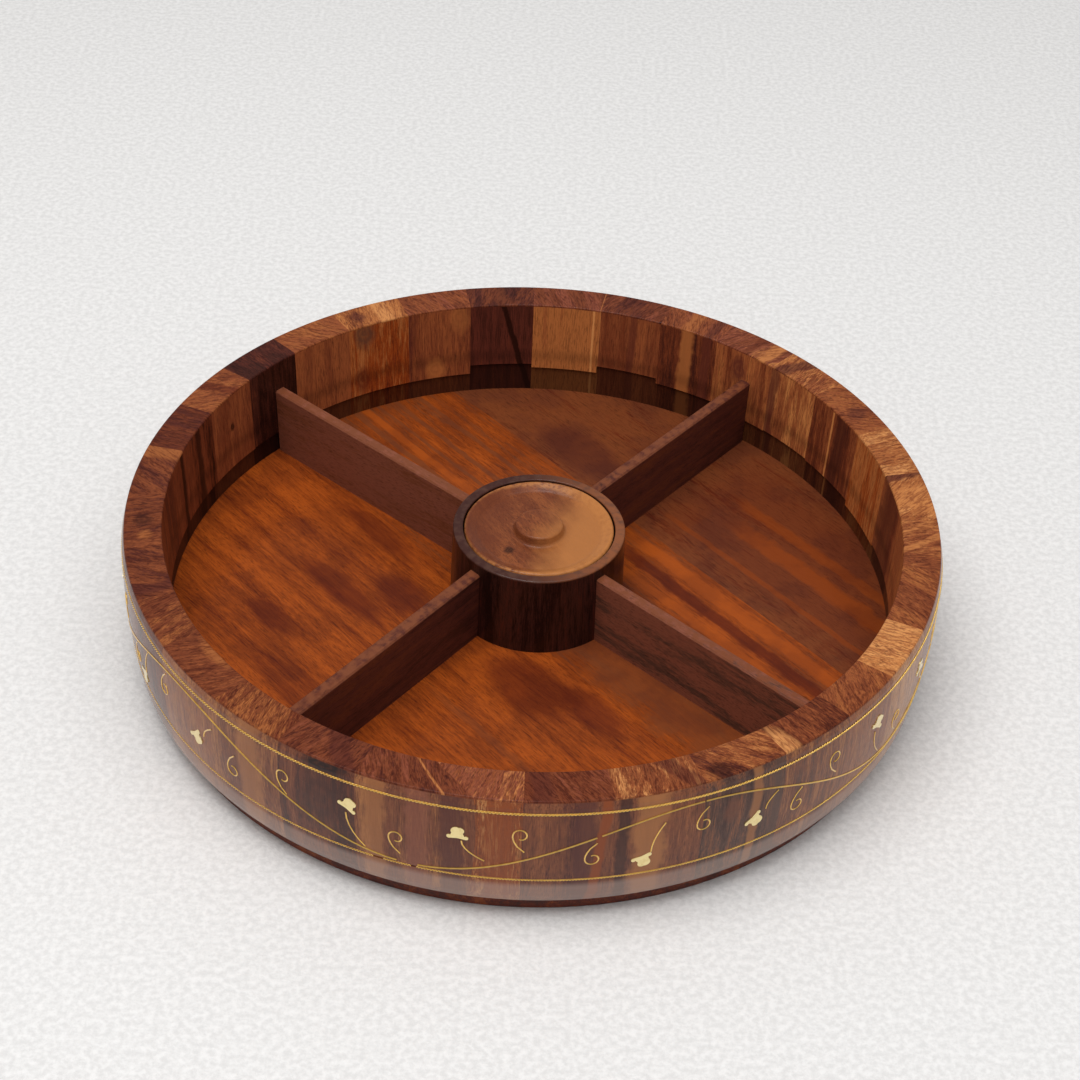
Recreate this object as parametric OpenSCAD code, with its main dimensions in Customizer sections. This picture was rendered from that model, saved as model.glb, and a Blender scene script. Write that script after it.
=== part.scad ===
// Lazy susan turntable: a coopered tray of thirty-two staves, split into four
// compartments round a lidded cup, turning on a ball race over a flat base disc.
// Millimetres, +Z up. The origin is the centre of the base disc's underside, on
// the turning axis. Azimuths run anticlockwise from +X, seen from above.

/* [Tray wall] */
// Height of the rim above the table
rim_z = 58; // [46:0.5:90]
// Radius of the barrel-shaped outer wall at its widest
wall_r_max = 151.15; // [120:0.05:200]
// Height at which the outer wall is widest
belly_z = 42; // [20:0.5:60]
// Radius of the barrel's curve, from foot to rim
barrel_r = 178; // [100:1:600]
// Radius of the rim's outer edge
rim_r = 150; // [118:0.2:198]
// Height at which the wall begins to round in to its foot
foot_z = 17.5; // [10:0.1:25]
// Distance the wall rounds in at its foot
foot_in = 4.2; // [1:0.1:8]
// Radius of the inner wall at the rim
inner_r_rim = 136.2; // [100:0.2:185]
// Radius of the inner wall at the floor
inner_r_floor = 134.7; // [100:0.2:184]
// Depth of the recess cut along the foot of each stave
foot_recess = 0.9; // [0.3:0.1:2]

/* [Staves] */
// Number of staves round the wall
stave_count = 32; // [12:1:48]
// Azimuth of the first seam, in degrees
first_seam = 1.4; // [0:0.1:12]

/* [Floor] */
// Height of the tray's underside above the table
underside_z = 7; // [6:0.1:12]
// Thickness of the floor boards
floor_t = 9; // [4:0.5:12]
// Radius of the floor, housed in a rabbet in the staves
floor_r = 139; // [110:0.5:190]
// Direction across the boards, in degrees
board_turn = 42.2; // [0:0.1:90]

/* [Dividers] */
// Height of the dividers above the floor
divider_h = 29; // [10:0.5:40]
// Thickness of a divider
divider_t = 4.7; // [3:0.1:8]
// Bevel along a divider's top edges
divider_ease = 0.6; // [0.2:0.1:1.5]

/* [Hub] */
// Offset of the cup from the turning axis, left to right
hub_x = 2.2; // [-5:0.1:5]
// Offset of the cup from the turning axis, front to back
hub_y = 0.4; // [-5:0.1:5]
// Outside radius of the cup at its rim
cup_r = 32.1; // [25:0.1:45]
// Height of the cup above the floor
cup_h = 33.6; // [20:0.1:40]
// Radius of the lid
lid_r = 27.9; // [20:0.1:40]
// Depth of the ledge the lid rests on, below the cup's rim
ledge_depth = 5.6; // [3:0.1:10]
// Radius of the lid's button
button_r = 9; // [6:0.1:14]

/* [Base and bearing] */
// Radius of the base disc
base_r = 143.5; // [100:0.1:195]
// Thickness of the base disc
base_t = 5.6; // [4:0.1:12]
// Diameter of a bearing ball (5/32 inch)
ball_d = 3.97; // [3.97]
// Number of balls
ball_count = 20; // [8:1:30]
// Radius of the ball race
race_r = 55; // [30:1:120]
// Diameter of the pivot screw's shank
screw_d = 4; // [3:0.1:6]

/* [Inlay] */
// Diameter of the upper twisted wire
rope_d_high = 1.1; // [0.6:0.05:2]
// Diameter of the lower twisted wire
rope_d_low = 0.95; // [0.6:0.05:2]
// Diameter of the plain wire of the vine
vine_d = 0.8; // [0.4:0.05:1.5]
// Diameter of the wire of the curls and stems
curl_d = 0.6; // [0.3:0.05:1.2]
// Height of the upper twisted wire
rope_z_high = 52.75; // [40:0.05:55]
// Height of the lower twisted wire
rope_z_low = 21.1; // [13:0.1:25]
// Height of the vine's middle line
vine_z = 36.2; // [25:0.1:45]
// Rise of the vine above and below its middle line
vine_rise = 13.9; // [5:0.1:15]

/* [Hidden] */
floor_z = underside_z + floor_t;
ledge_z = floor_z + cup_h - ledge_depth;
ball_r = ball_d / 2;
race_z = (base_t + underside_z) / 2;
running = 0.05;                     // clearance of a part that turns or lifts out
wire_sides = 6;
$fn = 96;

// Seams that stand off the even spacing: [seam, degrees]
seam_shifts = [
    [3, 1.2], [4, 0.3], [5, 0.5], [7, -0.25], [8, 0.2], [13, -0.5], [14, -0.8], [15, -1.2],
    [16, -1], [19, -1.2], [24, -1.1], [25, -1], [26, -0.5], [29, -1.3], [30, -1.8]
];
// The one seam cut askew: [seam, azimuth at the rim's inner edge, at its outer edge]
askew_seam = [23, 258, 264.1];
// Height of the recess along each stave's foot, in stave order
foot_heights = [
    8.8, 7.7, 10, 10.7, 10.4, 12.2, 14.6, 11.3, 13, 8.9, 8.9, 8.9, 9, 8.6, 8.8, 8.8,
    8.8, 8.8, 8.8, 8.8, 8.8, 8.8, 8.8, 8.8, 8.8, 8.8, 8.8, 8.8, 8.8, 8.8, 8.8, 8.8
];
// Timber of each stave: 0 gold, 1 tan, 2 red, 3 dark
stave_timber = [
    0, 0, 1, 1, 1, 3, 2, 1, 3, 1, 0, 1, 3, 0, 2, 2,
    2, 3, 1, 2, 3, 2, 3, 1, 2, 0, 1, 3, 2, 0, 2, 2
];
timber_colors = ["#B9793A", "#9A5F34", "#7C3F26", "#4A2A22"];
// Joints between the floor boards, as distances from the axis
board_joints = [-floor_r - 5, -92.5, -15.5, 61.5, floor_r + 5];
board_colors = ["#B4662B", "#BE7430", "#9A552B", "#8A4E38"];
// Dividers: [azimuth, offset of the centreline to its left, thickness added]
dividers = [[51.3, 1.05, 0], [140.3, -0.3, 0], [233.1, -3.1, 0.4], [318.5, 0.8, 0]];

// Crests of the vine's five waves, one of them wider than the rest
crests = [-66.5, 4.75, 76, 147.25, 218.5, 293.5];
widest_wave = 75;
// Motifs standing in a trough of the vine. A curl is [degrees from the trough, height],
// a flower has its tilt added, and a stem the place where it meets the vine
trough_curls = [[-17.2, 40.7], [-1.2, 31.7], [14.5, 40.9]];
trough_flowers = [[-7.4, 43, -28], [6.8, 41.8, 0]];
trough_stems = [[-7.8, 39, -5.3, 24.9], [7.3, 38.7, 10.2, 29.9]];
// Motifs hanging under a crest of the vine
crest_curls = [[-15.2, 33.8], [-0.1, 41.9], [15.1, 33.2]];
crest_flowers = [[-8.2, 28.1, 200], [8, 33.2, 222]];
crest_stems = [[-7.2, 31.5, -5.5, 44.5], [9.6, 36.4, 11.4, 43]];
// Groups of motifs laid a little round from their places, in degrees, wave by wave; a
// crest's first curl keeps its place
crest_nudges = [0, 0, 0, 0, -4.2];
trough_nudges = [1.3, 0, 0, 0, -0.5];
// Radius of a curl's spiral against its turning angle, inner end first
curl_radii = [
    [-110, 1.6], [-60, 1.9], [0, 2.3], [90, 2.7], [150, 2.9], [180, 2.8], [225, 3.3],
    [250, 4.5], [270, 6.2], [281, 7.7]
];

stave_nodes = [for (i = [1 : stave_count]) str("stave_", i < 10 ? "0" : "", i)];
board_nodes = [for (i = [1 : len(board_joints) - 1]) str("floor_board_", i)];
divider_nodes = [
    "divider_back_right", "divider_back_left", "divider_front_left", "divider_front_right"
];

// ---- shared shapes ----

function polar(r, a) = [r * cos(a), r * sin(a)];
function arc(c, r, from, to, steps = 6) =
    [for (i = [0 : steps]) c + polar(r, from + (to - from) * i / steps)];

// Outer radius of the wall at a height
function wall_r(z) = wall_r_max - barrel_r + sqrt(pow(barrel_r, 2) - pow(z - belly_z, 2));
// Inner radius of the wall at a height
function inner_r(z) = inner_r_floor + (z - floor_z) * (inner_r_rim - inner_r_floor)
    / (rim_z - floor_z);

// A ring of round section, used for ropes, grooves and the ball race
module torus(r, section_r, z, from = 0, to = 360) {
    rotate([0, 0, from]) rotate_extrude(angle = to - from)
        translate([r, z]) circle(r = section_r);
}

// ---- staves ----

function seam_shift(k) = let (s = search(k, seam_shifts)) len(s) > 0 ? seam_shifts[s[0]][1] : 0;
function even_seam(k) = first_seam + k * 360 / stave_count + seam_shift(k);
function seam_in(k) = k == askew_seam[0] ? askew_seam[1] : even_seam(k);
function seam_out(k) = k == askew_seam[0] ? askew_seam[2] : even_seam(k);
// A point on seam k: t is 0 at the rim's inner edge and 1 at its outer edge
function seam_point(k, t) =
    polar(inner_r_rim, seam_in(k)) * (1 - t) + polar(rim_r, seam_out(k)) * t;

module stave_section(foot_h) {
    difference() {
        polygon(concat(
            [[floor_r, underside_z]],
            [for (t = [90 : -15 : 15])
                [wall_r(foot_z) - foot_in * (1 - cos(t)), foot_z - (foot_z - underside_z) * sin(t)]],
            [for (z = [foot_z : (rim_z - 3 - foot_z) / 8 : rim_z - 2.9]) [wall_r(z), z]],
            arc([rim_r - 0.6, rim_z - 0.6], 0.6, 10, 90, 4),
            arc([inner_r_rim + 0.7, rim_z - 0.7], 0.7, 90, 180, 4),
            [[inner_r(floor_z + foot_h), floor_z + foot_h],
             [inner_r(floor_z + foot_h) + foot_recess, floor_z + foot_h],
             [inner_r_floor + foot_recess, floor_z], [floor_r, floor_z]]
        ));
        translate([wall_r(rope_z_high) - 0.15, rope_z_high]) circle(d = rope_d_high);
        translate([wall_r(rope_z_low) - 0.15, rope_z_low]) circle(d = rope_d_low);
    }
}

module stave(i) {
    color(timber_colors[stave_timber[i]]) intersection() {
        rotate_extrude() stave_section(foot_heights[i]);
        linear_extrude(rim_z + 10) polygon([
            seam_point(i, -0.5), seam_point(i, 1.5),
            seam_point(i + 1, 1.5), seam_point(i + 1, -0.5)
        ]);
    }
}

// ---- floor and dividers ----

module floor_board(i) {
    width = board_joints[i + 1] - board_joints[i];
    color(board_colors[i]) difference() {
        intersection() {
            translate([0, 0, underside_z]) cylinder(r = floor_r, h = floor_t);
            rotate([0, 0, board_turn]) translate([board_joints[i], -floor_r - 5, underside_z])
                cube([width, 2 * floor_r + 10, floor_t]);
        }
        torus(race_r, ball_r + running, race_z);
        cylinder(d = screw_d, h = 3 * floor_z, center = true);
    }
}

module divider_section(t) {
    polygon([
        [-t / 2, 0], [t / 2, 0], [t / 2, divider_h - divider_ease],
        [t / 2 - divider_ease, divider_h], [-t / 2 + divider_ease, divider_h],
        [-t / 2, divider_h - divider_ease]
    ]);
}

module divider(d) {
    color("#5A3430") difference() {
        intersection() {
            rotate([0, 0, d[0]]) translate([20, d[1], floor_z])
                rotate([90, 0, 90]) linear_extrude(120) divider_section(divider_t + d[2]);
            translate([0, 0, floor_z]) cylinder(
                r1 = inner_r_floor, r2 = inner_r(floor_z + divider_h), h = divider_h
            );
        }
        translate([hub_x, hub_y, floor_z]) cylinder(r1 = cup_r + 0.7, r2 = cup_r, h = cup_h);
    }
}

// ---- hub ----

module hub_cup() {
    color("#3A2320") difference() {
        translate([hub_x, hub_y, 0]) rotate_extrude() polygon(concat(
            [[0, floor_z], [cup_r + 0.7, floor_z]],
            arc([cup_r - 0.7, floor_z + cup_h - 0.7], 0.7, 0, 90),
            arc([lid_r + 1, floor_z + cup_h - 0.5], 0.5, 90, 180, 4),
            [[lid_r + 0.5, ledge_z], [lid_r - 2.5, ledge_z]],
            arc([lid_r - 5, floor_z + 7.4], 2, 0, -90),
            [[0, floor_z + 5.4]]
        ));
        translate([0, 0, floor_z - 1]) cylinder(d = screw_d, h = 5.6);
    }
}

module hub_lid() {
    bottom = ledge_z + running;
    top = floor_z + cup_h - 0.1;
    color("#8A5230") translate([hub_x, hub_y, 0]) rotate_extrude() polygon(concat(
        [[0, bottom], [lid_r - 0.4, bottom], [lid_r, bottom + 0.4]],
        arc([lid_r - 1.1, top - 1.1], 1.1, 0, 100),
        arc([lid_r - 6.2, top + 1.6], 3.6, -55, -90),
        arc([button_r + 1.9, top - 0.4], 1.6, -90, -170),
        arc([button_r - 1.1, top + 0.6], 1.1, 0, 80),
        [[button_r - 4, top + 1.85], [0, top + 2]]
    ));
}

// ---- base and bearing ----

module base_disc() {
    counterbore_z = 3.35;
    color("#4F2E24") difference() {
        rotate_extrude() polygon(concat(
            [[screw_d / 2 + 0.1, counterbore_z], [7, counterbore_z], [7, 0]],
            arc([base_r - 0.8, 0.8], 0.8, -90, 0),
            arc([base_r - 0.8, base_t - 0.8], 0.8, 0, 90),
            [[screw_d / 2 + 0.1, base_t]]
        ));
        torus(race_r, ball_r + running, race_z);
    }
}

module at_each_ball() {
    for (i = [0 : ball_count - 1])
        rotate([0, 0, (i + 0.5) * 360 / ball_count]) translate([race_r, 0, race_z]) children();
}

module ball_cage() {
    color("#B8862F") difference() {
        translate([0, 0, race_z - 0.4]) cylinder(r = race_r + 6, h = 0.8);
        translate([0, 0, race_z - 1]) cylinder(r = race_r - 6, h = 2);
        at_each_ball() cylinder(r = ball_r + running, h = 3, center = true);
    }
}

module bearing_balls() {
    color("silver") at_each_ball() sphere(r = ball_r);
}

module pivot_screw() {
    color("#A8A49C") difference() {
        rotate_extrude() polygon([
            [0, 0.5], [2.8, 0.6], [3.9, 1], [4.4, 1.7], [4.5, 2.5], [screw_d / 2, 2.5],
            [screw_d / 2, floor_z + 3.2], [0.4, floor_z + 4.6], [0, floor_z + 4.6]
        ]);
        for (turn = [0, 90]) rotate([0, 0, turn]) translate([-2.3, -0.45, 0]) cube([4.6, 0.9, 1.5]);
    }
}

module pivot_washer() {
    color("#C2B280") translate([0, 0, 2.5]) difference() {
        cylinder(r = 6.5, h = 0.8);
        translate([0, 0, -1]) cylinder(d = screw_d, h = 3);
    }
}

// ---- inlay ----

module upper_rope() {
    color("#E3CD8C") torus(wall_r(rope_z_high) - 0.15, rope_d_high / 2, rope_z_high);
}

module lower_rope() {
    color("#E3CD8C") {
        torus(wall_r(rope_z_low) - 0.15, rope_d_low / 2, rope_z_low, -103, 251.2);
        torus(wall_r(rope_z_low) - 0.15, rope_d_low / 2, rope_z_low, -107.4, -103.7);
    }
}

// A round wire laid along a path of [azimuth, height] points on the outer wall
module wall_wire(path, d) {
    centre = [for (q = path) concat(polar(wall_r(q[1]) - 0.05, q[0]), q[1])];
    last = len(path) - 1;
    points = [
        for (i = [0 : last])
            let (
                run = centre[min(i + 1, last)] - centre[max(i - 1, 0)],
                out = concat(polar(1, path[i][0]), 0),
                side = cross(run / norm(run), out)
            )
            for (s = [0 : wire_sides - 1])
                centre[i] + d / 2 * (cos(s * 360 / wire_sides) * out + sin(s * 360 / wire_sides) * side)
    ];
    walls = [
        for (i = [0 : last - 1], s = [0 : wire_sides - 1])
            let (n = (s + 1) % wire_sides, a = i * wire_sides, b = a + wire_sides)
            [a + s, b + s, b + n, a + n]
    ];
    start_cap = [for (s = [0 : wire_sides - 1]) s];
    end_cap = [for (s = [wire_sides - 1 : -1 : 0]) last * wire_sides + s];
    polyhedron(points, concat([start_cap, end_cap], walls));
}

function wave_of(a) = max([for (i = [0 : len(crests) - 2]) a >= crests[i] ? i : 0]);
function vine_height(a) = let (w = wave_of(a))
    vine_z + vine_rise * cos(360 * (a - crests[w]) / (crests[w + 1] - crests[w]));
function vine_path(from, to, steps) = [
    for (i = [0 : steps]) let (a = from + (to - from) * i / steps) [a, vine_height(a)]
];

module vine() {
    color("#E3CD8C") {
        wall_wire(vine_path(crests[0], 254.4, 214), vine_d);
        wall_wire(vine_path(257.2, 279.6, 16), vine_d);
        wall_wire(vine_path(280.2, 360 + crests[0] - 0.2, 9), vine_d);
    }
}

// Wave widths scale the motifs along the wall; each motif is [azimuth, height, ...]
function wave_scale(w) = (crests[w + 1] - crests[w]) / widest_wave;
function under_crest(w, m) =
    [crests[w] + (m[0] > -15 ? crest_nudges[w] : 0) + m[0] * wave_scale(w), m[1]];
function over_trough(w, m) =
    [(crests[w] + crests[w + 1]) / 2 + trough_nudges[w] + m[0] * wave_scale(w), m[1]];
function spiral_path(at, flip) = [
    for (a = [-110 : 23 : 281])
        let (p = lookup(a, curl_radii) * [0.9 * cos(a), sin(a)] + [0.3, 2.2])
        [at[0] + p[0] * 180 / (PI * wall_r_max), at[1] + flip * p[1]]
];
// A stem bends from the flower, straight at first, over to the vine
function stem_path(from, to) = [
    for (i = [0 : 5])
        let (t = i / 5)
        from * (1 - t) * (1 - t) + [from[0], (from[1] + to[1]) / 2] * 2 * t * (1 - t) + to * t * t
];

module curls() {
    color("#E3CD8C") for (w = [0 : len(crests) - 2]) {
        for (m = trough_curls) wall_wire(spiral_path(over_trough(w, m), 1), curl_d);
        for (m = crest_curls) wall_wire(spiral_path(under_crest(w, m), -1), curl_d);
    }
}

module stems() {
    color("#E3CD8C") for (w = [0 : len(crests) - 2]) {
        for (m = trough_stems)
            wall_wire(stem_path(over_trough(w, m), over_trough(w, [m[2], m[3]])), curl_d);
        for (m = crest_stems)
            wall_wire(stem_path(under_crest(w, m), under_crest(w, [m[2], m[3]])), curl_d);
    }
}

// Bell-shaped flower plate: a two-headed dome on a mouth that spreads to both sides
module flower_shape() {
    translate([-0.4, 1.2]) circle(r = 1.8);
    translate([0.9, 1.4]) circle(r = 1.4);
    polygon([[-2.7, -2.3], [0, -2], [2.9, -2.45], [1.8, 0.4], [-1.9, 0.5]]);
    translate([-2.7, -1.5]) circle(r = 0.85);
    translate([2.9, -1.65]) circle(r = 0.8);
}

module flower_at(at, tilt) {
    rotate([0, 0, at[0]]) translate([wall_r(at[1]) - 0.7, 0, at[1]])
        rotate([90, 0, 90]) linear_extrude(0.95) rotate(tilt) flower_shape();
}

module flowers() {
    color("#E3CD8C") for (w = [0 : len(crests) - 2]) {
        for (m = trough_flowers) flower_at(over_trough(w, m), m[2]);
        for (m = crest_flowers) flower_at(under_crest(w, m), m[2]);
    }
}

// ---- assembly ----

base_disc();
ball_cage();
bearing_balls();
pivot_screw();
pivot_washer();
for (i = [0 : len(board_nodes) - 1])
    floor_board(i);
for (i = [0 : stave_count - 1])
    stave(i);
for (i = [0 : len(divider_nodes) - 1])
    divider(dividers[i]);
hub_cup();
hub_lid();
upper_rope();  // inlay_upper_rope
lower_rope();  // inlay_lower_rope
vine();  // inlay_vine
curls();  // inlay_curls
stems();  // inlay_stems
flowers();  // inlay_flowers
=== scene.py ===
import math

import bpy
from mathutils import Matrix, Vector


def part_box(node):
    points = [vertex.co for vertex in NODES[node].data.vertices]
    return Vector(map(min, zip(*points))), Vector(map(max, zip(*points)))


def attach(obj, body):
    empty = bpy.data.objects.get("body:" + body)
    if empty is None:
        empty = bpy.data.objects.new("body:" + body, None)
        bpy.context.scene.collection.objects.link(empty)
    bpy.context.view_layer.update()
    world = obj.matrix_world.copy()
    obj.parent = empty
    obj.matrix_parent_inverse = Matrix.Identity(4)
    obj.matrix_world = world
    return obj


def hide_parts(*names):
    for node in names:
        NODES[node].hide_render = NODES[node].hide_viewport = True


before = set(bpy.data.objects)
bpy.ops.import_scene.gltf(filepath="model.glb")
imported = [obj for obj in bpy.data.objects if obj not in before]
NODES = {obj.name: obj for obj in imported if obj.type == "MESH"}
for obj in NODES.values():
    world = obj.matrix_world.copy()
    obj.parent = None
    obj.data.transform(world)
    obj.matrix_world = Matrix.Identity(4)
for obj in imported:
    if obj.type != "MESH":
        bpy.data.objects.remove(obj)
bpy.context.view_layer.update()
MM = 0.001

# ---------------------------------------------------------------------------
# Sizes read from the CAD frame
# ---------------------------------------------------------------------------

STAVES = sorted(n for n in NODES if n.startswith("stave_"))
BOARDS = sorted(n for n in NODES if n.startswith("floor_board_"))
DIVIDERS = sorted(n for n in NODES if n.startswith("divider_"))
RIM_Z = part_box("stave_01")[1].z / MM
CUP_LOW, CUP_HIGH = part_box("hub_cup")
HUB = (CUP_LOW + CUP_HIGH) / 2 / MM
CUP_TOP = CUP_HIGH.z / MM
# the rim's inner radius, the first stave's first seam and the way the floor boards run
INNER_R = 136.2
FIRST_SEAM = 1.4
SEAM_STEP = 360 / len(STAVES)
BOARD_TURN = 42.2
# millimetres to a degree on the wall, and how each rim stave's figure leans from the last
MM_PER_DEGREE = 2.45
RIM_LEAN, RIM_LEAN_STEP, RIM_LEAN_SPAN = 50.0, 37.0, 80.0


# ---------------------------------------------------------------------------
# Timber tones, display colours
# ---------------------------------------------------------------------------

def linear(hexcode):
    """A display colour such as "8A5230" as linear RGBA."""
    parts = [int(hexcode[i:i + 2], 16) / 255 for i in (0, 2, 4)]
    return [c / 12.92 if c < 0.04045 else ((c + 0.055) / 1.055) ** 2.4 for c in parts] + [1]


TONE = {
    "straw": "D8A066", "honey": "C28650", "gold": "A86C3E", "amber": "8C431A", "tan": "925634",
    "umber": "7A442B", "russet": "6A3622", "rose": "8A503C", "plum": "582C24", "bark": "40201A",
    "ink": "200E0A", "ash": "5A3C30", "orange": "A85420", "mahogany": "5E2416", "glare_grey": "C0ACA2",
}
TONE = {name: linear(code) for name, code in TONE.items()}


# ---------------------------------------------------------------------------
# Node graphs
# ---------------------------------------------------------------------------

class Graph:
    """Builds one node tree, with every input given as a number, a colour or another node's output."""

    def __init__(self, tree):
        self.tree = tree

    def put(self, socket, value):
        if isinstance(value, bpy.types.NodeSocket):
            self.tree.links.new(value, socket)
        elif isinstance(value, str):
            socket.default_value = TONE[value]
        else:
            socket.default_value = value

    def node(self, kind, inputs=None, **settings):
        made = self.tree.nodes.new("ShaderNode" + kind)
        for name, value in settings.items():
            setattr(made, name, value)
        for key, value in (inputs or {}).items():
            self.put(made.inputs[key], value)
        return made

    def math(self, operation, a, b=0.0, c=0.0):
        return self.node("Math", {0: a, 1: b, 2: c}, operation=operation).outputs[0]

    def mul(self, a, b):
        return self.math("MULTIPLY", a, b)

    def add(self, a, b):
        return self.math("ADD", a, b)

    def step(self, value, low, high):
        """Rises smoothly from 0 at low to 1 at high; low may be the larger."""
        flip = low > high
        made = self.node(
            "MapRange",
            {"Value": value, "From Min": min(low, high), "From Max": max(low, high),
             "To Min": float(flip), "To Max": float(not flip)},
            interpolation_type="SMOOTHSTEP",
        )
        return made.outputs["Result"]

    def mix(self, factor, a, b, blend="MIX"):
        made = self.node("Mix", data_type="RGBA", blend_type=blend)
        self.put(made.inputs["Factor"], factor)
        self.put(made.inputs[6], a)
        self.put(made.inputs[7], b)
        return made.outputs[2]

    def vector(self, x, y, z):
        return self.node("CombineXYZ", {0: x, 1: y, 2: z}).outputs[0]

    def noise(self, vector, scale, detail=2.0, rough=0.55, warp=0.0):
        made = self.node(
            "TexNoise",
            {"Vector": vector, "Scale": scale, "Detail": detail, "Roughness": rough,
             "Distortion": warp},
        )
        return made.outputs["Fac"]


def new_group(name, inputs, outputs):
    """A node group with (name, kind) sockets; returns (tree, Graph, inputs by name, output node)."""
    tree = bpy.data.node_groups.new(name, "ShaderNodeTree")
    for label, kind in inputs:
        tree.interface.new_socket(label, in_out="INPUT", socket_type="NodeSocket" + kind)
    for label, kind in outputs:
        tree.interface.new_socket(label, in_out="OUTPUT", socket_type="NodeSocket" + kind)
    entry = tree.nodes.new("NodeGroupInput")
    leave = tree.nodes.new("NodeGroupOutput")
    return tree, Graph(tree), {s.name: s for s in entry.outputs}, leave


def make_grain_group():
    """Streaked timber. Vector is in millimetres with Z along the grain; Colour runs from
    Dark through Mid to Light, and Height carries the pores and fibres for the bump."""
    tree, g, given, leave = new_group(
        "timber_grain",
        [("Vector", "Vector"), ("Seed", "Float"), ("Dark", "Color"), ("Mid", "Color"),
         ("Light", "Color"), ("Balance", "Float"), ("Swirl", "Float"), ("Stretch", "Float")],
        [("Color", "Color"), ("Height", "Float")],
    )
    xyz = g.node("SeparateXYZ", {0: given["Vector"]})
    seed = g.mul(given["Seed"], 37.7)
    along = g.mul(xyz.outputs[2], given["Stretch"])
    place = g.vector(g.add(xyz.outputs[0], seed), g.add(xyz.outputs[1], seed), along)
    # slow wander bends the streaks into a figure
    wander = g.node("TexNoise", {"Vector": place, "Scale": 0.055, "Detail": 2.0})
    centred = g.node(
        "VectorMath", {0: wander.outputs["Color"], 1: (0.5, 0.5, 0.5)}, operation="SUBTRACT"
    )
    push = g.node("VectorMath", {0: centred.outputs[0], "Scale": given["Swirl"]}, operation="SCALE")
    bent = g.node("VectorMath", {0: place, 1: push.outputs[0]}, operation="ADD").outputs[0]
    broad = g.noise(bent, 0.16, 3.0, 0.5)
    rings = g.noise(bent, 0.62, 3.0, 0.6)
    fibre = g.noise(bent, 2.6, 2.0, 0.6)
    value = g.add(g.mul(broad, 0.4), g.add(g.mul(rings, 0.32), g.mul(fibre, 0.28)))
    value = g.add(g.step(value, 0.34, 0.66), given["Balance"])
    low = g.mix(g.step(value, 0.0, 0.5), given["Dark"], given["Mid"])
    colour = g.mix(g.step(value, 0.45, 1.0), low, given["Light"])
    # open pores: short dark dashes along the grain
    dashes = g.noise(bent, 3.4, 1.0, 0.5)
    pore = g.step(dashes, 0.56, 0.66)
    dark_pore = g.mix(0.6, colour, "ink")
    colour = g.mix(g.mul(pore, 0.7), colour, dark_pore)
    # fine speckle of lighter and darker cells
    cells = g.noise(given["Vector"], 1.6, 3.0, 0.8)
    colour = g.mix(g.mul(g.step(cells, 0.5, 0.75), 0.22), colour, given["Light"])
    colour = g.mix(g.mul(g.step(cells, 0.5, 0.25), 0.4), colour, given["Dark"])
    height = g.add(g.mul(fibre, 0.5), g.mul(pore, -0.6))
    g.put(leave.inputs["Color"], colour)
    g.put(leave.inputs["Height"], height)
    return tree


def make_streak_group():
    """A band of another colour where Across passes Centre; Along sets its wander."""
    tree, g, given, leave = new_group(
        "timber_streak",
        [("Color", "Color"), ("Across", "Float"), ("Along", "Float"), ("Centre", "Float"),
         ("Half", "Float"), ("Slant", "Float"), ("Tone", "Color"), ("Strength", "Float")],
        [("Color", "Color")],
    )
    lean = g.mul(given["Along"], given["Slant"])
    offset = g.math("SUBTRACT", given["Across"], g.add(given["Centre"], lean))
    wave = g.noise(g.vector(given["Centre"], 0.0, g.mul(given["Along"], 0.09)), 1.0, 3.0)
    soft = g.noise(g.vector(g.mul(given["Across"], 0.9), 0.0, g.mul(given["Along"], 0.12)), 1.0, 3.0)
    sway = g.mul(g.math("SUBTRACT", wave, 0.5), g.mul(given["Half"], 1.6))
    distance = g.math("ABSOLUTE", g.add(offset, sway))
    ratio = g.math("DIVIDE", distance, given["Half"])
    cover = g.step(g.add(ratio, g.mul(g.math("SUBTRACT", soft, 0.5), 0.9)), 1.15, 0.55)
    g.put(leave.inputs["Color"], g.mix(g.mul(cover, given["Strength"]), given["Color"], given["Tone"]))
    return tree


def make_knot_group():
    """A ragged ellipse of another colour with rings round its centre."""
    tree, g, given, leave = new_group(
        "timber_knot",
        [("Color", "Color"), ("Across", "Float"), ("Along", "Float"), ("Centre", "Float"),
         ("Height", "Float"), ("Wide", "Float"), ("Tall", "Float"), ("Tone", "Color"),
         ("Strength", "Float"), ("Rings", "Float")],
        [("Color", "Color")],
    )
    x = g.math("DIVIDE", g.math("SUBTRACT", given["Across"], given["Centre"]), given["Wide"])
    y = g.math("DIVIDE", g.math("SUBTRACT", given["Along"], given["Height"]), given["Tall"])
    spot = g.vector(x, y, 0.0)
    rag = g.noise(spot, 1.3, 4.0, 0.6)
    radius = g.node("VectorMath", {0: spot}, operation="LENGTH").outputs["Value"]
    radius = g.add(radius, g.mul(g.math("SUBTRACT", rag, 0.5), 0.9))
    rings = g.mul(g.math("SINE", g.mul(radius, 15.0)), given["Rings"])
    cover = g.mul(g.step(radius, 1.2, 0.55), g.add(0.88, rings))
    g.put(leave.inputs["Color"], g.mix(g.mul(cover, given["Strength"]), given["Color"], given["Tone"]))
    return tree


GRAIN = make_grain_group()
STREAK = make_streak_group()
KNOT = make_knot_group()


def grain(g, vector, seed, tones, balance=0.0, swirl=6.0, stretch=0.07):
    made = g.node("Group", node_tree=GRAIN)
    dark, mid, light = tones
    values = {"Vector": vector, "Seed": seed, "Dark": dark, "Mid": mid, "Light": light,
              "Balance": balance, "Swirl": swirl, "Stretch": stretch}
    for key, value in values.items():
        g.put(made.inputs[key], value)
    return made.outputs["Color"], made.outputs["Height"]


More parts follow.
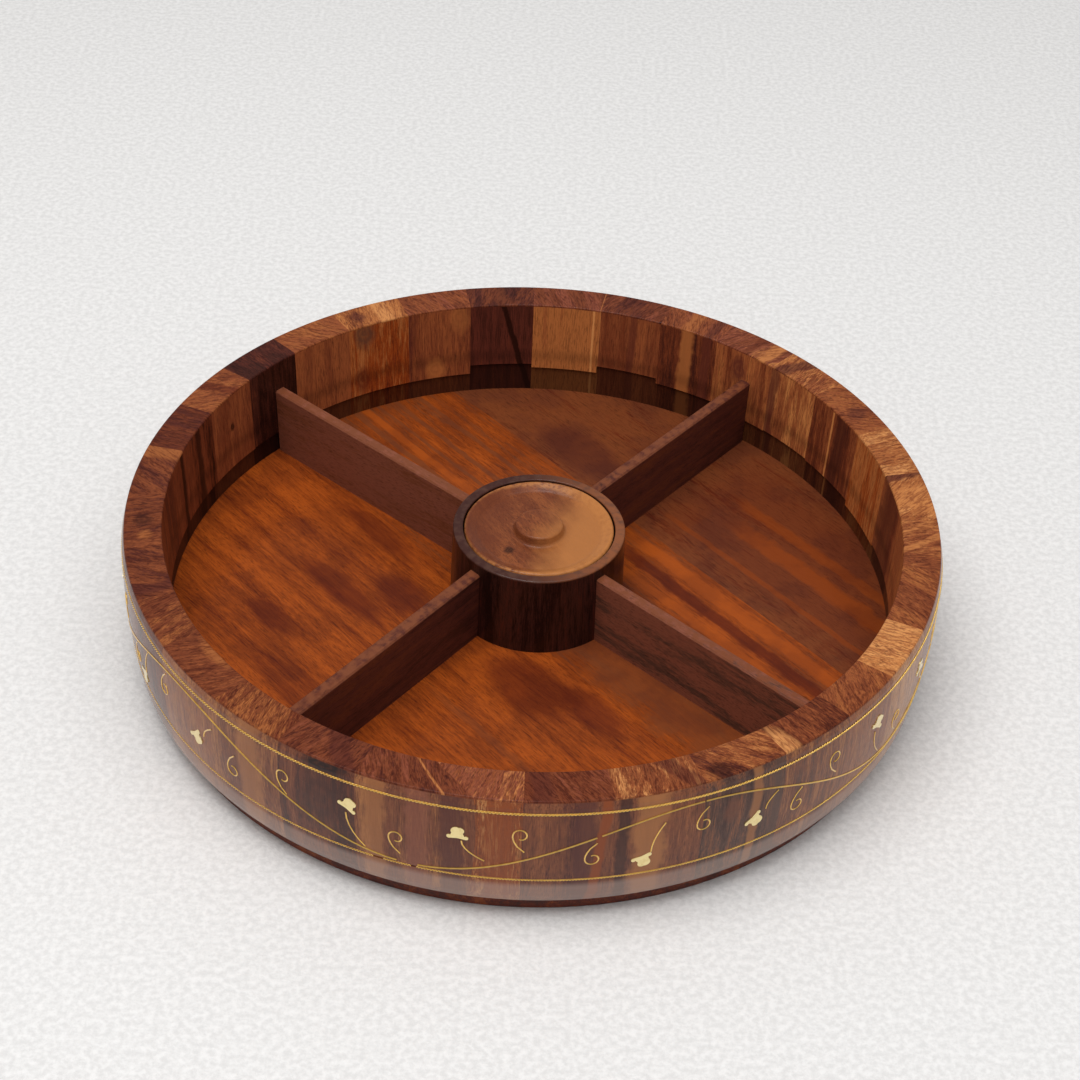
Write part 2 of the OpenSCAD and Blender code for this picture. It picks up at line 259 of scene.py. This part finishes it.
def streak(g, colour, across, along, centre, half, tone, strength=0.8, slant=0.0):
    made = g.node("Group", node_tree=STREAK)
    values = {"Color": colour, "Across": across, "Along": along, "Centre": centre, "Half": half,
              "Slant": slant, "Tone": tone, "Strength": strength}
    for key, value in values.items():
        g.put(made.inputs[key], value)
    return made.outputs["Color"]


def knot(g, colour, across, along, centre, height, wide, tall, tone, strength=0.85, rings=0.12):
    made = g.node("Group", node_tree=KNOT)
    values = {"Color": colour, "Across": across, "Along": along, "Centre": centre, "Height": height,
              "Wide": wide, "Tall": tall, "Tone": tone, "Strength": strength, "Rings": rings}
    for key, value in values.items():
        g.put(made.inputs[key], value)
    return made.outputs["Color"]


def new_material(name):
    material = bpy.data.materials.new(name)
    material.use_nodes = True
    material.node_tree.nodes.clear()
    return material, Graph(material.node_tree)


def finish_wood(g, colour, height, rough=0.45, lacquer=0.1, coat_rough=0.12, bump=0.12, shine=0.1):
    """Lacquered timber: the shader, its bump and the output."""
    blemish = g.noise(millimetres(g), 0.11, 3.0, 0.6)
    roughness = g.add(rough - 0.09, g.mul(blemish, 0.18))
    bumped = g.node("Bump", {"Height": height, "Strength": bump, "Distance": 0.0004})
    shader = g.node("BsdfPrincipled", {"Base Color": colour, "Roughness": roughness,
                                       "Coat Weight": lacquer, "Normal": bumped.outputs[0]})
    shader.inputs["Coat Roughness"].default_value = coat_rough
    shader.inputs["Coat IOR"].default_value = 1.38
    shader.inputs["Specular IOR Level"].default_value = shine
    g.node("OutputMaterial", {"Surface": shader.outputs[0]})


def millimetres(g):
    """The piece's own coordinates, in millimetres."""
    place = g.node("TexCoord").outputs["Object"]
    return g.node("VectorMath", {0: place, "Scale": 1000.0}, operation="SCALE").outputs[0]


def turned(g, vector, degrees, centre=(0.0, 0.0, 0.0)):
    """The coordinates turned about Z, so that an azimuth of degrees comes to +X."""
    made = g.node("VectorRotate", {"Vector": vector, "Center": centre,
                                   "Angle": math.radians(-degrees)}, rotation_type="Z_AXIS")
    return g.node("SeparateXYZ", {0: made.outputs[0]}).outputs


def paint(piece, material):
    piece.data.materials.clear()
    piece.data.materials.append(material)


# ---------------------------------------------------------------------------
# Staves
# ---------------------------------------------------------------------------
# Each stave has the rim's tones, the wall's tones, a balance towards dark or light, and marks.
# Marks are azimuths in degrees and heights in millimetres below the rim (0 down to -51).
# streak: ("streak", face, azimuth, half width in degrees, tone, strength, slant)
# knot: ("knot", face, azimuth, height, half width in degrees, half height, tone, strength)
# On the rim a knot's height is its distance outward from the rim's inner edge.

STAVE_LOOKS = [
    (("tan", "gold", "straw"), ("mahogany", "umber", "tan"), 0.10, [
        ("streak", "rim", 6.2, 3.6, "honey", 0.8, 0.0), ("streak", "rim", 12.0, 1.5, "plum", 0.8, 0.1),
        ("streak", "in", 8.0, 5.0, "bark", 0.6, 0.0)]),
    (("tan", "gold", "straw"), ("umber", "amber", "gold"), 0.15, []),
    (("umber", "tan", "gold"), ("bark", "russet", "tan"), 0.05, [
        ("knot", "rim", 29.0, 7.0, 1.8, 4.0, "plum", 0.7), ("streak", "in", 29.0, 1.7, "bark", 0.8, 0.0),
        ("streak", "in", 31.2, 0.25, "honey", 0.8, 0.0)]),
    (("umber", "tan", "honey"), ("umber", "tan", "honey"), 0.08, [
        ("streak", "rim", 45.0, 1.5, "plum", 0.75, -0.15), ("streak", "in", 46.2, 1.3, "plum", 0.8, 0.0)]),
    (("umber", "rose", "honey"), ("russet", "tan", "gold"), 0.0, [
        ("streak", "rim", 49.4, 1.4, "honey", 0.8, 0.0), ("streak", "rim", 52.4, 0.8, "russet", 0.7, 0.0),
        ("knot", "in", 53.4, -9.0, 1.7, 7.0, "plum", 0.85),
        ("knot", "in", 55.0, -27.0, 2.0, 6.0, "gold", 0.6)]),
    (("umber", "tan", "rose"), ("bark", "russet", "tan"), -0.05, [
        ("streak", "all", 63.8, 1.4, "gold", 0.75, 0.0), ("streak", "all", 60.0, 1.0, "plum", 0.7, 0.0)]),
    (("plum", "umber", "rose"), ("russet", "umber", "tan"), 0.0, [
        ("streak", "all", 80.0, 0.22, "honey", 0.7, 0.0), ("streak", "all", 74.0, 0.8, "plum", 0.5, 0.0)]),
    (("umber", "umber", "rose"), ("tan", "gold", "gold"), 0.1, [
        ("streak", "in", 81.0, 0.2, "straw", 0.6, 0.0), ("streak", "in", 79.6, 0.25, "bark", 0.7, 0.0)]),
    (("bark", "plum", "umber"), ("bark", "plum", "russet"), -0.08, [
        ("streak", "in", 97.0, 0.6, "ink", 0.9, 0.12), ("streak", "rim", 96.0, 2.0, "umber", 0.6, 0.2)]),
    (("umber", "tan", "rose"), ("plum", "umber", "tan"), 0.0, [
        ("knot", "in", 109.0, -29.0, 2.0, 6.0, "gold", 0.8),
        ("knot", "in", 104.5, -5.0, 2.0, 8.0, "gold", 0.5)]),
    (("umber", "gold", "honey"), ("mahogany", "amber", "gold"), 0.08, [
        ("streak", "rim", 117.6, 1.5, "straw", 0.7, 0.0),
        ("knot", "rim", 122.0, 7.0, 1.4, 4.0, "plum", 0.8),
        ("knot", "in", 122.2, -4.0, 2.2, 7.5, "ash", 0.85),
        ("knot", "in", 122.8, -26.0, 1.8, 7.0, "mahogany", 0.75)]),
    (("tan", "tan", "gold"), ("umber", "tan", "tan"), 0.0, []),
    (("bark", "plum", "umber"), ("ink", "bark", "umber"), -0.25, []),
    (("russet", "tan", "gold"), ("russet", "umber", "tan"), 0.0, [
        ("knot", "in", 152.5, -15.0, 0.6, 2.0, "ink", 0.9),
        ("streak", "rim", 151.0, 1.2, "mahogany", 0.6, 0.1)]),
    (("plum", "russet", "umber"), ("ink", "russet", "umber"), -0.1, [
        ("streak", "in", 163.0, 1.0, "ink", 0.8, 0.0)]),
    (("plum", "umber", "tan"), ("bark", "russet", "umber"), -0.1, [
        ("streak", "rim", 170.0, 1.9, "gold", 0.7, 0.0), ("streak", "in", 170.0, 0.7, "ink", 0.9, 0.0)]),
    (("plum", "umber", "tan"), ("bark", "russet", "umber"), -0.05, [
        ("knot", "rim", 186.5, 7.0, 1.6, 4.0, "bark", 0.7),
        ("knot", "rim", 190.0, 6.0, 1.2, 3.0, "gold", 0.7)]),
    (("plum", "umber", "tan"), ("bark", "russet", "umber"), -0.05, [
        ("streak", "rim", 202.0, 1.2, "plum", 0.8, 0.0)]),
    (("russet", "umber", "gold"), ("bark", "russet", "umber"), 0.0, []),
    (("russet", "umber", "tan"), ("umber", "tan", "gold"), 0.1, [
        ("knot", "rim", 219.0, 1.0, 4.0, 3.0, "gold", 0.8)]),
    (("mahogany", "umber", "gold"), ("russet", "umber", "gold"), 0.0, [
        ("streak", "out", 232.5, 2.2, "gold", 0.6, 0.0)]),
    (("plum", "umber", "rose"), ("bark", "russet", "tan"), -0.12, [
        ("knot", "out", 244.0, -18.0, 3.6, 14.0, "bark", 0.7),
        ("knot", "out", 244.5, -2.0, 3.2, 3.0, "ink", 0.95),
        ("streak", "rim", 243.5, 2.0, "plum", 0.7, 0.3)]),
    (("plum", "umber", "rose"), ("russet", "umber", "gold"), 0.0, [
        ("streak", "out", 251.5, 1.6, "gold", 0.6, 0.0), ("streak", "out", 257.0, 1.8, "rose", 0.6, 0.0),
        ("streak", "out", 261.5, 1.8, "plum", 0.8, 0.0),
        ("streak", "rim", 255.5, 0.25, "honey", 0.8, 0.35)]),
    (("tan", "rose", "honey"), ("umber", "amber", "honey"), 0.05, [
        ("streak", "out", 267.5, 2.0, "amber", 0.6, 0.0)]),
    (("russet", "umber", "rose"), ("plum", "umber", "tan"), -0.05, [
        ("streak", "out", 278.0, 1.5, "plum", 0.8, 0.0), ("streak", "out", 280.8, 0.75, "amber", 0.9, 0.03),
        ("streak", "rim", 272.5, 1.6, "plum", 0.6, 0.0)]),
    (("umber", "tan", "straw"), ("plum", "umber", "tan"), 0.0, [
        ("streak", "out", 282.9, 0.9, "bark", 0.85, 0.0), ("streak", "out", 286.5, 2.4, "gold", 0.8, 0.0),
        ("streak", "rim", 290.0, 1.6, "plum", 0.7, 0.2)]),
    (("plum", "tan", "honey"), ("bark", "ash", "tan"), -0.05, [
        ("knot", "out", 297.5, -16.0, 1.3, 6.0, "umber", 0.6),
        ("knot", "rim", 296.0, 11.0, 1.8, 4.0, "bark", 0.8),
        ("streak", "out", 301.0, 0.8, "gold", 0.7, 0.0), ("streak", "out", 304.0, 1.0, "ash", 0.7, 0.0)]),
    (("bark", "russet", "tan"), ("ash", "umber", "gold"), 0.0, [
        ("knot", "rim", 306.0, 12.0, 1.9, 11.0, "straw", 0.9)]),
    (("russet", "tan", "gold"), ("umber", "tan", "gold"), 0.05, []),
    (("gold", "honey", "straw"), ("tan", "gold", "honey"), 0.15, []),
    (("russet", "tan", "gold"), ("umber", "tan", "gold"), 0.0, []),
    (("umber", "tan", "honey"), ("umber", "tan", "gold"), 0.0, [
        ("streak", "rim", 354.0, 0.8, "honey", 0.7, 0.3),
        ("streak", "rim", 358.0, 0.7, "honey", 0.6, 0.3)]),
]


def stave_marks(g, colour, marks, middle, faces, angle, depth, out):
    """Lays the marks of one face over its colour, each only where that face is."""
    for kind, face, azimuth, *rest in marks:
        if kind == "streak":
            half, tone, strength, slant = rest
            along = out if face == "rim" else depth
            laid = streak(g, colour, angle, along, azimuth - middle, half, tone, strength, slant)
        else:
            height, wide, tall, tone, strength = rest
            along = out if face == "rim" else depth
            laid = knot(g, colour, angle, along, azimuth - middle, height, wide, tall, tone, strength)
        colour = laid if face == "all" else g.mix(faces[face], colour, laid)
    return colour


def stave_material(index):
    rim_tones, wall_tones, balance, marks = STAVE_LOOKS[index]
    middle = FIRST_SEAM + (index + 0.5) * SEAM_STEP
    material, g = new_material(STAVES[index] + "_timber")
    x, y, z = turned(g, millimetres(g), middle)
    angle = g.mul(g.math("ARCTAN2", y, x), 180 / math.pi)
    radius = g.math("SQRT", g.add(g.mul(x, x), g.mul(y, y)))
    depth = g.add(z, -RIM_Z)
    out = g.add(radius, -INNER_R)
    side = g.step(depth, -0.6, -1.0)
    faces = {"rim": g.math("SUBTRACT", 1.0, side), "in": g.mul(side, g.step(radius, 141.0, 140.0)),
             "out": g.mul(side, g.step(radius, 144.0, 145.0))}
    place = g.vector(g.mul(angle, MM_PER_DEGREE), radius, z)
    wall, wall_height = grain(g, place, index + 1.0, wall_tones, balance, 7.0, 0.06)
    fibres = g.noise(g.vector(g.mul(angle, 4.4), index * 5.3, g.mul(z, 0.11)), 1.0, 4.0, 0.7, 0.6)
    wall = g.mix(g.mul(g.step(fibres, 0.48, 0.66), 0.4), wall, "bark")
    # on the rim each stave's figure runs its own way
    lean = turned(g, place, RIM_LEAN + RIM_LEAN_STEP * index % RIM_LEAN_SPAN)
    rim_place = g.vector(lean[1], lean[2], lean[0])
    rim, rim_height = grain(g, rim_place, index + 1.5, rim_tones, balance, 10.0, 0.2)
    colour = g.mix(faces["rim"], wall, rim)
    height = g.node("Mix", {"Factor": faces["rim"], 2: wall_height, 3: rim_height}).outputs[0]
    colour = stave_marks(g, colour, marks, middle, faces, angle, depth, out)
    colour = g.mix(faces["in"], colour, g.mix(1.0, colour, (1.45, 1.25, 1.1, 1.0), "MULTIPLY"))
    # figure of the end grain, across the rim
    veins = g.vector(g.mul(lean[1], 1.6), 0.0, g.mul(lean[0], 0.3))
    figure = g.step(g.noise(veins, 0.5, 4.0, 0.65, 1.5), 0.42, 0.64)
    veined = g.mix(1.0, colour, g.mix(figure, (1.0, 0.84, 0.74, 1.0), (0.5, 0.33, 0.3, 1.0)), "MULTIPLY")
    colour = g.mix(faces["rim"], colour, veined)
    # painted shade: the recess along the foot of the inner wall is darkened towards ink, lower down
    foot = g.mul(faces["in"], g.step(radius, 135.15, 135.45))
    colour = g.mix(g.mul(foot, g.step(depth, -20.0, -28.0)), colour, g.mix(0.75, colour, "ink"))
    # painted reflection: a light grey band round the foot, outside, stands in for the lacquer's glare of
    # the ground
    foot_glare = g.mul(faces["out"], g.mul(g.step(depth, -38.0, -41.5), 0.38))
    colour = g.mix(foot_glare, colour, "glare_grey")
    lacquer = g.add(0.1, g.mul(faces["out"], 0.5))
    finish_wood(g, colour, height, 0.45, lacquer, 0.05, 0.1, 0.08)
    return material


# ---------------------------------------------------------------------------
# Floor boards
# ---------------------------------------------------------------------------
# Each board has its tones, a balance towards dark or light, and marks.
# Marks across the boards and along their grain, in millimetres from the axis.
# streak: ("streak", across, half width, tone, strength, lowest along, highest along)
# cloud: ("cloud", across, along, half width, half length, tone, strength)

BOARD_LOOKS = [
    (("mahogany", "amber", "orange"), 0.1, [("cloud", -100.0, 10.0, 9.0, 30.0, "mahogany", 0.5)]),
    (("mahogany", "amber", "orange"), 0.14, [
        ("cloud", -34.0, -38.0, 13.0, 22.0, "mahogany", 0.8),
        ("cloud", -24.0, -62.0, 8.0, 18.0, "mahogany", 0.8),
        ("cloud", -54.0, 48.0, 7.0, 26.0, "mahogany", 0.8),
        ("cloud", -22.0, 66.0, 5.0, 26.0, "mahogany", 0.6),
        ("cloud", -84.0, 52.0, 6.0, 14.0, "mahogany", 0.8),
        ("cloud", -38.0, 30.0, 9.0, 16.0, "mahogany", 0.8),
        ("streak", -62.0, 2.0, "umber", 0.4, -140.0, -20.0)]),
    (("umber", "amber", "orange"), 0.0, [
        ("streak", 18.5, 1.6, "umber", 0.85, 30.0, 150.0),
        ("streak", 23.0, 2.0, "orange", 0.8, 30.0, 150.0),
        ("streak", 29.0, 1.0, "umber", 0.8, 30.0, 150.0), ("streak", 36.5, 1.3, "umber", 0.8, 30.0, 150.0),
        ("streak", 46.5, 1.2, "umber", 0.75, 30.0, 150.0),
        ("streak", 55.0, 3.6, "orange", 0.8, -150.0, 0.0),
        ("streak", 46.5, 3.2, "mahogany", 0.8, -150.0, 0.0),
        ("streak", 38.5, 2.4, "orange", 0.75, -150.0, 0.0),
        ("streak", 31.0, 2.2, "mahogany", 0.7, -150.0, 0.0),
        ("streak", 6.0, 20.0, "umber", 0.75, -150.0, 0.0)]),
    (("mahogany", "umber", "umber"), 0.1, [
        ("cloud", 75.0, 55.0, 12.0, 28.0, "plum", 0.8),
        ("streak", 98.0, 36.0, "mahogany", 0.4, -150.0, 5.0),
        ("streak", 92.0, 5.0, "amber", 0.75, -120.0, -20.0),
        ("streak", 75.0, 1.5, "amber", 0.6, -120.0, 0.0),
        ("streak", 104.0, 3.0, "amber", 0.6, -110.0, -10.0)]),
]


def board_material(index):
    tones, balance, marks = BOARD_LOOKS[index]
    material, g = new_material(BOARDS[index] + "_timber")
    across, along, z = turned(g, millimetres(g), BOARD_TURN)
    place = g.vector(across, z, along)
    colour, height = grain(g, place, index + 40.0, tones, balance, 9.0, 0.07)
    for kind, *rest in marks:
        if kind == "streak":
            centre, half, tone, strength, low, high = rest
            laid = streak(g, colour, across, along, centre, half, tone, strength)
            inside = g.mul(g.step(along, low - 12.0, low + 12.0), g.step(along, high + 12.0, high - 12.0))
            colour = g.mix(inside, colour, laid)
        else:
            colour = knot(g, colour, across, along, *rest, rings=0.0)
    worn = g.noise(millimetres(g), 0.05, 3.0, 0.6)
    patchy = g.mix(g.step(worn, 0.42, 0.62), (1.0, 0.88, 0.66, 1.0), (0.78, 0.68, 0.62, 1.0))
    colour = g.mix(1.0, colour, patchy, "MULTIPLY")
    finish_wood(g, colour, height, 0.48, 0.15, 0.16, 0.14, 0.06)
    return material


# ---------------------------------------------------------------------------
# Dividers, hub and base
# ---------------------------------------------------------------------------

# Each divider has its azimuth, its tones and a balance towards dark or light. Painted light and shade: back
# right and front left get dark tones, back left and front right lighter ones, after how their seen faces
# lie in shade or in light.

DIVIDER_LOOKS = {
    "divider_back_right": (51.3, ("bark", "plum", "russet"), 0.0),
    "divider_back_left": (140.3, ("russet", "umber", "rose"), 0.42),
    "divider_front_left": (233.1, ("bark", "plum", "russet"), 0.0),
    "divider_front_right": (318.5, ("plum", "ash", "rose"), 0.35),
}


def divider_material(name):
    azimuth, tones, balance = DIVIDER_LOOKS[name]
    material, g = new_material(name + "_timber")
    along, across, z = turned(g, millimetres(g), azimuth)
    place = g.vector(across, z, along)
    colour, height = grain(g, place, len(name) + azimuth, tones, balance, 8.0, 0.12)
    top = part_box(name)[1].z / MM
    edge = g.step(z, top - 0.9, top - 0.3)
    worn = g.step(g.noise(millimetres(g), 0.35, 3.0), 0.3, 0.62)
    colour = g.mix(g.mul(edge, worn), colour, "umber")
    finish_wood(g, colour, height, 0.5, 0.15, 0.2, 0.14)
    return material


def cup_material():
    material, g = new_material("hub_cup_timber")
    x, y, z = turned(g, millimetres(g), 0.0)
    place = g.vector(x, y, z)
    colour, height = grain(g, place, 71.0, ("ink", "bark", "mahogany"), -0.25, 8.0, 0.08)
    top = g.step(z, CUP_TOP - 1.0, CUP_TOP - 0.3)
    # painted light and shade: the ring on the cup's top is painted dark to the left and tan to the right,
    # with ash patches
    ring = g.mix(g.step(x, -10.0, 34.0), "bark", "tan")
    ring = g.mix(g.mul(g.step(g.noise(millimetres(g), 0.3, 3.0), 0.4, 0.7), 0.7), ring, "ash")
    colour = g.mix(g.mul(top, 0.85), colour, ring)
    finish_wood(g, colour, height, 0.4, 0.4, 0.12, 0.12)
    return material


def lid_material():
    material, g = new_material("hub_lid_timber")
    x, y, z = turned(g, millimetres(g), 35.0, (HUB.x, HUB.y, 0.0))
    colour, height = grain(g, g.vector(x, z, y), 83.0, ("russet", "umber", "tan"), 0.1, 12.0, 0.25)
    east, north, _ = turned(g, millimetres(g), 0.0, (HUB.x, HUB.y, 0.0))
    # painted light and shade: the lid is painted lighter towards honey to the right and darker towards
    # russet to the left
    drift = g.mul(g.noise(g.vector(east, north, 0.0), 0.09, 2.0), 16.0)
    side = g.add(g.add(east, g.mul(north, -0.25)), drift)
    colour = g.mix(g.mul(g.step(side, 6.0, 26.0), 0.75), colour, "honey")
    colour = g.mix(g.mul(g.step(side, 4.0, -14.0), 0.6), colour, "russet")
    colour = knot(g, colour, east, north, -8.6, -11.6, 2.0, 2.2, "ink", 0.8)
    radius = g.math("SQRT", g.add(g.mul(east, east), g.mul(north, north)))
    # painted highlight: a lighter honey ring where the lid's rounded edge catches light, broken up by noise
    edge = g.mul(g.step(radius, 24.6, 26.2), g.step(g.noise(millimetres(g), 0.45, 3.0), 0.3, 0.6))
    colour = g.mix(g.mul(edge, 0.75), colour, "honey")
    turning = g.math("SINE", g.mul(radius, 7.0))
    colour = g.mix(1.0, colour, (0.92, 0.8, 0.66, 1.0), "MULTIPLY")
    finish_wood(g, colour, g.add(height, g.mul(turning, 0.12)), 0.4, 0.3, 0.16, 0.2, 0.1)
    return material


def base_material():
    material, g = new_material("base_disc_timber")
    x, y, z = turned(g, millimetres(g), 30.0)
    colour, height = grain(g, g.vector(x, z, y), 91.0, ("bark", "mahogany", "amber"), 0.0, 9.0, 0.06)
    finish_wood(g, colour, height, 0.4, 0.6, 0.1, 0.1)
    return material


def metal_material(name, colour, rough, tarnish, tarnish_colour, lacquer=0.0):
    material, g = new_material(name)
    place = millimetres(g)
    patch = g.step(g.noise(place, 0.5, 4.0, 0.65), 0.42, 0.72)
    shade = g.mix(g.mul(patch, tarnish), colour, tarnish_colour)
    roughness = g.add(rough, g.mul(g.noise(place, 3.0, 3.0), 0.15))
    bumped = g.node("Bump", {"Height": g.noise(place, 6.0, 2.0), "Strength": 0.08, "Distance": 0.0001})
    shader = g.node("BsdfPrincipled", {"Base Color": shade, "Roughness": roughness,
                                       "Normal": bumped.outputs[0]})
    shader.inputs["Metallic"].default_value = 1.0
    shader.inputs["Coat Weight"].default_value = lacquer
    g.node("OutputMaterial", {"Surface": shader.outputs[0]})
    return material


for i, name in enumerate(STAVES):
    paint(NODES[name], stave_material(i))
for i, name in enumerate(BOARDS):
    paint(NODES[name], board_material(i))
for name in DIVIDERS:
    paint(NODES[name], divider_material(name))
paint(NODES["hub_cup"], cup_material())
paint(NODES["hub_lid"], lid_material())
paint(NODES["base_disc"], base_material())

WIRE = metal_material("inlay_wire", linear("F0C25E"), 0.3, 0.5, linear("BC8838"), 1.0)
PLATE = metal_material("inlay_plate", linear("F4E0A0"), 0.35, 0.5, linear("DEC078"), 1.0)
CAGE_BRASS = metal_material("cage_brass", linear("C9A050"), 0.35, 0.5, linear("7A5A26"))
STEEL = metal_material("bearing_steel", linear("B8B8B6"), 0.25, 0.3, linear("8A8884"))
for name in ("inlay_vine", "inlay_curls", "inlay_stems"):
    paint(NODES[name], WIRE)
paint(NODES["inlay_flowers"], PLATE)
paint(NODES["ball_cage"], CAGE_BRASS)
for name in ("bearing_balls", "pivot_screw", "pivot_washer"):
    paint(NODES[name], STEEL)


# ---------------------------------------------------------------------------
# Twisted wire inlay
# ---------------------------------------------------------------------------

def twisted_wire(name, node, arcs, section_d, pitch):
    """Two strands twisted round each other along arcs of a circle, in place of a CAD ring."""
    low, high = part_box(node)
    height = (low.z + high.z) / 2
    ring = high.x - section_d / 2
    strand_r = section_d / 4
    sides, per_turn = 6, 8
    points, faces = [], []
    for start, end in arcs:
        turns = max(1, round(abs(math.radians(end - start)) * ring / pitch))
        rings = turns * per_turn
        closed = abs(end - start) >= 360
        count = rings if closed else rings + 1
        for strand in (0, 1):
            first = len(points)
            for i in range(count):
                azimuth = math.radians(start + (end - start) * i / rings)
                twist = math.tau * (i / per_turn + strand / 2)
                out = Vector((math.cos(azimuth), math.sin(azimuth), 0))
                centre = out * (ring + strand_r * math.cos(twist))
                centre.z = height + strand_r * math.sin(twist)
                for s in range(sides):
                    turn = math.tau * s / sides
                    points.append(centre + (out * math.cos(turn) + Vector((0, 0, 1)) * math.sin(turn))
                                  * strand_r * 1.08)
            for i in range(rings):
                a = first + i * sides
                b = first + ((i + 1) % count) * sides
                for s in range(sides):
                    n = (s + 1) % sides
                    faces.append((a + s, b + s, b + n, a + n))
            if not closed:
                last = first + (count - 1) * sides
                faces.append(tuple(first + s for s in range(sides)))
                faces.append(tuple(last + s for s in reversed(range(sides))))
    mesh = bpy.data.meshes.new(name)
    mesh.from_pydata(points, [], faces)
    mesh.polygons.foreach_set("use_smooth", [True] * len(mesh.polygons))
    mesh.update()
    piece = bpy.data.objects.new(name, mesh)
    bpy.context.scene.collection.objects.link(piece)
    paint(piece, WIRE)
    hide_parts(node)
    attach(piece, "tray")
    return piece


twisted_wire("upper_twisted_wire", "inlay_upper_rope", [(0, 360)], 1.1 * MM, 2.4 * MM)
twisted_wire("lower_twisted_wire", "inlay_lower_rope", [(-103, 251.2), (-107.4, -103.7)],
             0.95 * MM, 2.1 * MM)


# ---------------------------------------------------------------------------
# Stage: floor, light, camera
# ---------------------------------------------------------------------------

def make_floor():
    mesh = bpy.data.meshes.new("studio_floor")
    side = 4.0
    mesh.from_pydata([(-side, -side, 0), (side, -side, 0), (side, side, 0), (-side, side, 0)], [],
                     [(0, 1, 2, 3)])
    piece = bpy.data.objects.new("studio_floor", mesh)
    bpy.context.scene.collection.objects.link(piece)
    material, g = new_material("studio_floor")
    place = g.node("TexCoord").outputs["Object"]
    speckle = g.step(g.noise(place, 420.0, 3.0, 0.6), 0.3, 0.7)
    shade = g.mix(speckle, linear("E2E1E0"), linear("F3F2F1"))
    bumped = g.node("Bump", {"Height": speckle, "Strength": 0.15, "Distance": 0.001})
    shader = g.node("BsdfPrincipled", {"Base Color": shade, "Normal": bumped.outputs[0]})
    shader.inputs["Roughness"].default_value = 0.9
    g.node("OutputMaterial", {"Surface": shader.outputs[0]})
    paint(piece, material)


def area_light(name, place, target, size, power, colour=(1, 1, 1)):
    light = bpy.data.lights.new(name, "AREA")
    light.shape = "DISK"
    light.size = size
    light.energy = power
    light.color = colour
    lamp = bpy.data.objects.new(name, light)
    bpy.context.scene.collection.objects.link(lamp)
    lamp.location = place
    aim = Vector(target) - Vector(place)
    lamp.rotation_euler = aim.to_track_quat("-Z", "Y").to_euler()


def make_world():
    world = bpy.data.worlds.new("soft_studio")
    world.use_nodes = True
    bpy.context.scene.world = world
    background = world.node_tree.nodes["Background"]
    background.inputs["Color"].default_value = (1.0, 0.995, 0.99, 1)
    background.inputs["Strength"].default_value = 0.42


def make_camera():
    camera = bpy.data.cameras.new("camera")
    camera.sensor_width = 36.0
    camera.lens = 76.83
    camera.clip_end = 50.0
    piece = bpy.data.objects.new("camera", camera)
    bpy.context.scene.collection.objects.link(piece)
    turn = (Matrix.Rotation(math.radians(-0.233), 4, "Z") @ Matrix.Rotation(math.radians(50.755), 4, "X")
            @ Matrix.Rotation(math.radians(2.661), 4, "Z"))
    piece.matrix_world = Matrix.Translation((0.0, -0.6671, 0.5884)) @ turn
    bpy.context.scene.camera = piece


make_floor()
make_world()
make_camera()
area_light("key", (-0.4, -0.3, 1.7), (0, 0, 0), 1.2, 15.0, (1.0, 0.99, 0.98))
area_light("fill", (0.3, -0.5, 1.8), (0, 0, 0), 1.6, 10.0, (0.98, 0.99, 1.0))
bpy.context.scene.view_settings.view_transform = "Standard"
